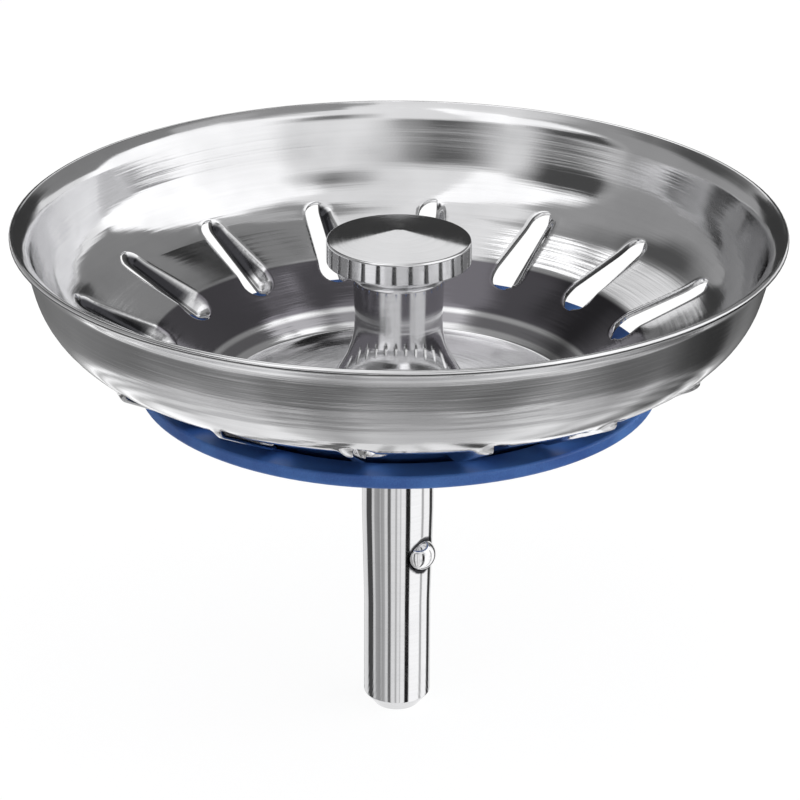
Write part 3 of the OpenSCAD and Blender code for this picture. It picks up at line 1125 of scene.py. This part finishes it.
# A soft-edged mix of a card and what stands behind it
def cardMaterial(name, strength, fade):
    material = bpy.data.materials.new(name)
    material.use_nodes = True
    tree = material.node_tree
    tree.nodes.clear()
    across, high, _ = split(tree, tree.nodes.new("ShaderNodeTexCoord").outputs["UV"])
    parts = []
    for axis in (across, high):
        fromMiddle = calc(tree, "ABSOLUTE", calc(tree, "MULTIPLY_ADD", axis, 2.0, -1.0))
        parts.append(remap(tree, fromMiddle, 1 - fade, 1.0, 1.0, 0.0))
    mix = tree.nodes.new("ShaderNodeMixShader")
    glow = tree.nodes.new("ShaderNodeEmission")
    glow.inputs["Strength"].default_value = strength
    feed(tree, mix.inputs[0], calc(tree, "MULTIPLY", *parts))
    tree.links.new(tree.nodes.new("ShaderNodeBsdfTransparent").outputs[0], mix.inputs[1])
    tree.links.new(glow.outputs[0], mix.inputs[2])
    tree.links.new(mix.outputs[0], tree.nodes.new("ShaderNodeOutputMaterial").inputs[0])
    return material


def makeCard(name, azFrom, azTo, elFrom, elTo, distance, strength, fade):
    across = max(2, round((azTo - azFrom) / studio["cardStep"]))
    high = max(2, round((elTo - elFrom) / studio["cardStep"]))
    points, faces, corners = [], [], []
    for j in range(high + 1):
        for i in range(across + 1):
            azimuth = view["azimuth"] + between(azFrom, azTo, i / across)
            way = wayTo(azimuth, between(elFrom, elTo, j / high))
            points.append((way * distance + upAxis * studio["middle"]) * millimetre)
    for j in range(high):
        for i in range(across):
            k = j * (across + 1) + i
            faces.append((k, k + across + 1, k + across + 2, k + 1))
            corners += [(i, j), (i, j + 1), (i + 1, j + 1), (i + 1, j)]
    mesh = newMesh(name, points, faces)
    layer = mesh.uv_layers.new(name="card")
    for k, (i, j) in enumerate(corners):
        layer.data[k].uv = (i / across, j / high)
    mesh.materials.append(cardMaterial(name, strength, fade))
    card = newObject(name, mesh)
    card.visible_camera = False


def makeFloor():
    half = studio["floorSize"] / 2 * millimetre
    height = studio["floorHeight"] * millimetre
    points = [(x * half, y * half, height) for x, y in ((-1, -1), (1, -1), (1, 1), (-1, 1))]
    floor = newObject("floor", newMesh("floor", points, [(0, 1, 2, 3)]))
    material, tree, shader = newMaterial("paleFloor")
    shader.inputs["Base Color"].default_value = studio["floorColour"]
    shader.inputs["Roughness"].default_value = studio["floorRoughness"]
    # The camera and the metal see the floor as the white background, with a share of its shadow
    seen = tree.nodes.new("ShaderNodeLightPath").outputs
    part = calc(tree, "MAXIMUM", seen["Is Camera Ray"], seen["Is Glossy Ray"])
    part = calc(tree, "MAXIMUM", part, seen["Is Transmission Ray"])
    glow = tree.nodes.new("ShaderNodeEmission")
    glow.inputs["Strength"].default_value = studio["floorGlow"]
    shade = tree.nodes.new("ShaderNodeBsdfDiffuse")
    share = studio["shadowShare"]
    shade.inputs["Color"].default_value = (share, share, share, 1)
    both = tree.nodes.new("ShaderNodeAddShader")
    tree.links.new(glow.outputs[0], both.inputs[0])
    tree.links.new(shade.outputs[0], both.inputs[1])
    mix = tree.nodes.new("ShaderNodeMixShader")
    feed(tree, mix.inputs[0], part)
    tree.links.new(shader.outputs[0], mix.inputs[1])
    tree.links.new(both.outputs[0], mix.inputs[2])
    tree.links.new(mix.outputs[0], tree.nodes["Material Output"].inputs[0])
    floor.data.materials.append(material)


# Cards in rings that only the metal sees. Rows are (radius, height over the floor, share of the
# tone), stops are (azimuth from the camera's side, tone), and "seenFrom" is the radius of the
# piece that shows the card.
ringCards = {
    "pinFence": {
        "rows": [
            (4.2, 0.1, 1), (5, 0.1, 1), (6, 0.1, 1), (7.5, 0.1, 1), (9.5, 0.1, 1), (12.5, 0.1, 1),
            (16, 0.1, 1), (22, 0.1, 1), (22, 27, 1),
        ],
        "seenFrom": 3.7,
        "stops": [
            (-180, 0.2), (-170, 0.2), (-162, 0.9), (-124, 0.9), (-118, 0.08), (-94, 0.08),
            (-90, 0.8), (-84, 0.8), (-79, 0.42), (-62, 0.36), (-58, 0.6), (-54, 0.42),
            (-45, 0.48), (-41, 0.85), (-34, 0.85), (-31, 0.16), (-24, 0.16), (-20, 0.95),
            (-9, 0.95), (-6, 0.55), (-3, 0.55), (0, 1.0), (7, 1.0), (10, 0.65), (13, 1.1),
            (25, 1.1), (28, 0.02), (40, 0.02), (44, 1.3), (82, 1.3), (86, 0.55), (92, 0.55),
            (96, 1.25), (122, 1.25), (128, 0.05), (146, 0.05), (152, 0.9), (168, 0.9),
            (174, 0.2), (180, 0.2),
        ],
    },
    "wallCard": {
        "rows": [
            (24, 0.1, 2.6), (38, 0.1, 2.6), (44, 0.1, 2.8), (50, 0.1, 1.3), (55, 0.1, 2.8),
            (60, 0.1, 1.2), (64, 0.1, 2.4), (68, 0.1, 1.1), (72, 0.1, 2.7), (76, 0.1, 1.05),
            (80, 0.1, 0.8), (84, 0.1, 0.55), (130, 0.1, 0.3), (600, 0.1, 0.3),
        ],
        "seenFrom": 0,
        "stops": [
            (-180, 0.45), (-150, 0.5), (-110, 0.5), (-80, 0.36), (-60, 0.42), (-45, 0.40),
            (-32, 0.25), (-20, 0.2), (-5, 0.28), (25, 0.27), (50, 0.4), (66, 0.28), (78, 0.34),
            (92, 0.14), (106, 0.08), (118, 0.35), (130, 0.48), (150, 0.3), (180, 0.45),
        ],
    },
}


def toneAt(stops, azimuth):
    for (a, low), (b, high) in zip(stops, stops[1:]):
        if azimuth <= b:
            return between(low, high, ease((azimuth - a) / (b - a)))
    return stops[-1][1]


def makeRingCard(name, card):
    # A card close round the pin is met a little short of the way that the reflection takes
    def met(azimuth, radius):
        short = card["seenFrom"] / radius * math.sin(math.radians(azimuth / 2))
        return azimuth - math.degrees(math.asin(short))

    points, faces, tones = [], [], []
    around = 360  # one place a degree
    for radius, lift, share in card["rows"]:
        stops = [(met(a, radius), tone) for a, tone in card["stops"]]
        for azimuth in range(-180, 180):
            a = math.radians(view["azimuth"] + azimuth)
            x, y = math.sin(a) * radius, -math.cos(a) * radius
            points.append(Vector((x, y, studio["floorHeight"] + lift)) * millimetre)
            tones.append(toneAt(stops, azimuth) * share)
    for ring in range(len(card["rows"]) - 1):
        first = ring * around
        for k in range(around):
            j = (k + 1) % around
            faces.append((first + k, first + j, first + around + j, first + around + k))
    mesh = newMesh(name, points, faces)
    mesh.attributes.new("tone", "FLOAT", "POINT").data.foreach_set("value", tones)
    material = bpy.data.materials.new(name)
    material.use_nodes = True
    tree = material.node_tree
    tree.nodes.clear()
    read = tree.nodes.new("ShaderNodeAttribute")
    read.attribute_name = "tone"
    glow = tree.nodes.new("ShaderNodeEmission")
    tree.links.new(read.outputs["Fac"], glow.inputs["Strength"])
    tree.links.new(glow.outputs[0], tree.nodes.new("ShaderNodeOutputMaterial").inputs[0])
    mesh.materials.append(material)
    made = newObject(name, mesh)
    made.visible_camera = made.visible_diffuse = False
    made.visible_shadow = made.visible_transmission = False


makeFloor()
for name, card in ringCards.items():
    makeRingCard(name, card)
for name, card in studio["cards"].items():
    makeCard(name, *card)
world = bpy.data.worlds.new("studio")
world.use_nodes = True
world.node_tree.nodes["Background"].inputs["Color"].default_value = (1, 1, 1, 1)
world.node_tree.nodes["Background"].inputs["Strength"].default_value = 1
bpy.context.scene.world = world
print("studio made")

bpy.context.scene.view_settings.view_transform = "Standard"
